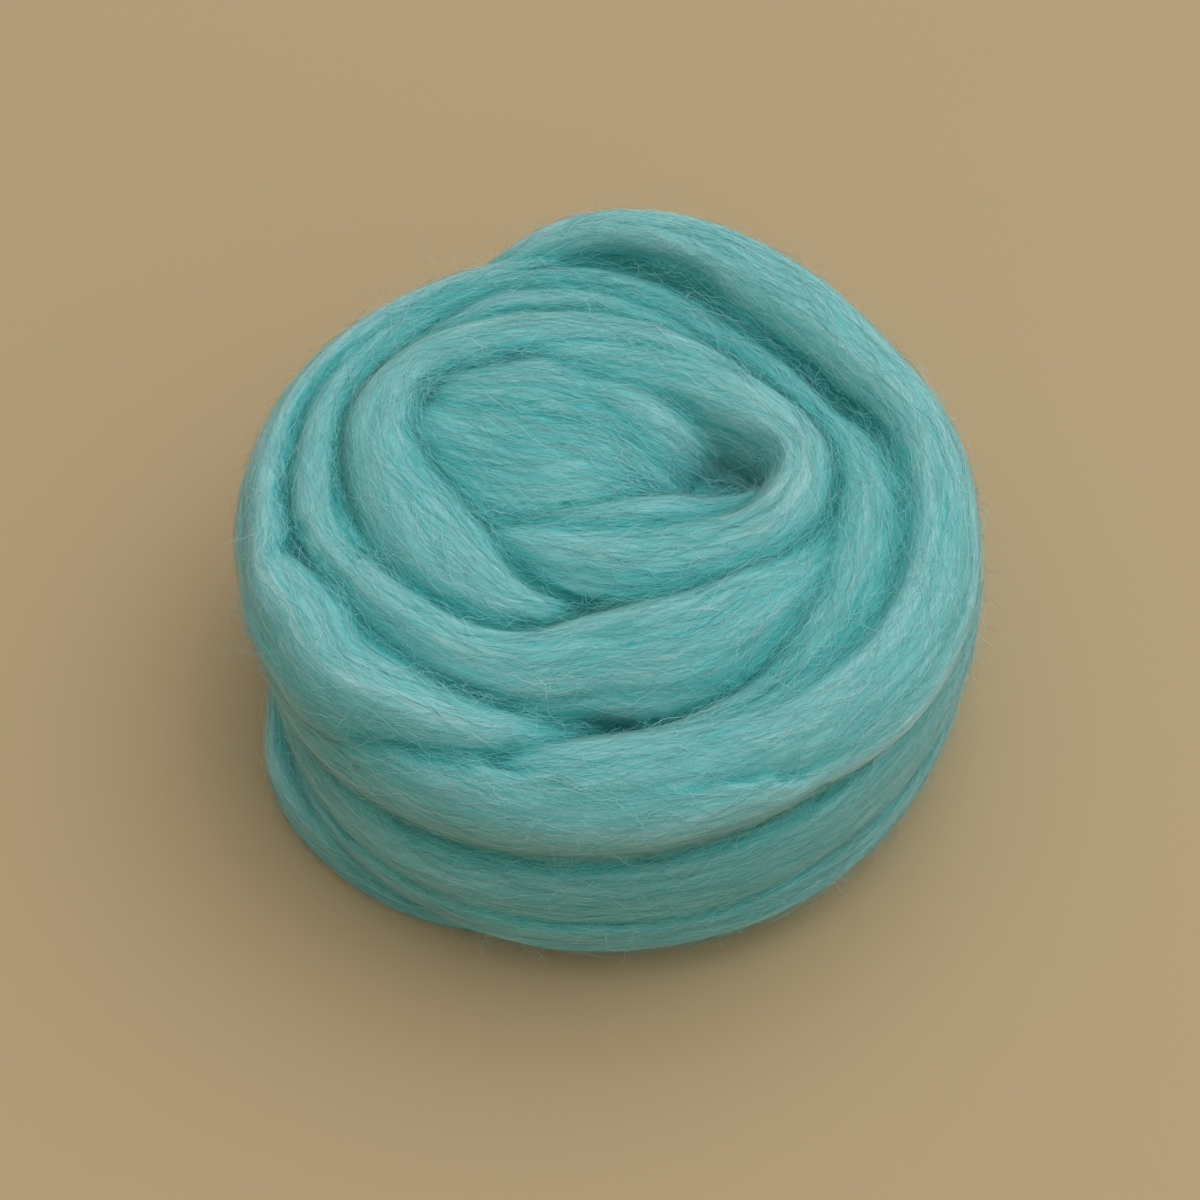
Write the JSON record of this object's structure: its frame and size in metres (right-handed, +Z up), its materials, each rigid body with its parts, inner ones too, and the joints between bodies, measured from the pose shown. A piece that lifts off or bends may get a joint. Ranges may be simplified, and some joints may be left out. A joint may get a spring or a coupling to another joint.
{
  "type": "wool roving coil",
  "caption": "Length of dyed wool top wound by hand into a squat round coil, with overlapping turns on top and a flat underside.",
  "frame": {"origin": "middle of the flat underside, on the surface that the coil rests on", "axes": "+Z up, +X the coil's right and +Y its back, where the high ridge is"},
  "size_m": [0.136, 0.1397, 0.0571],
  "materials": {
    "wool": "soft matte combed wool fibre, turquoise, with a fine fuzz"
  },
  "bodies": {
    "root": {"roving": "wool"}
  },
  "joints": []
}
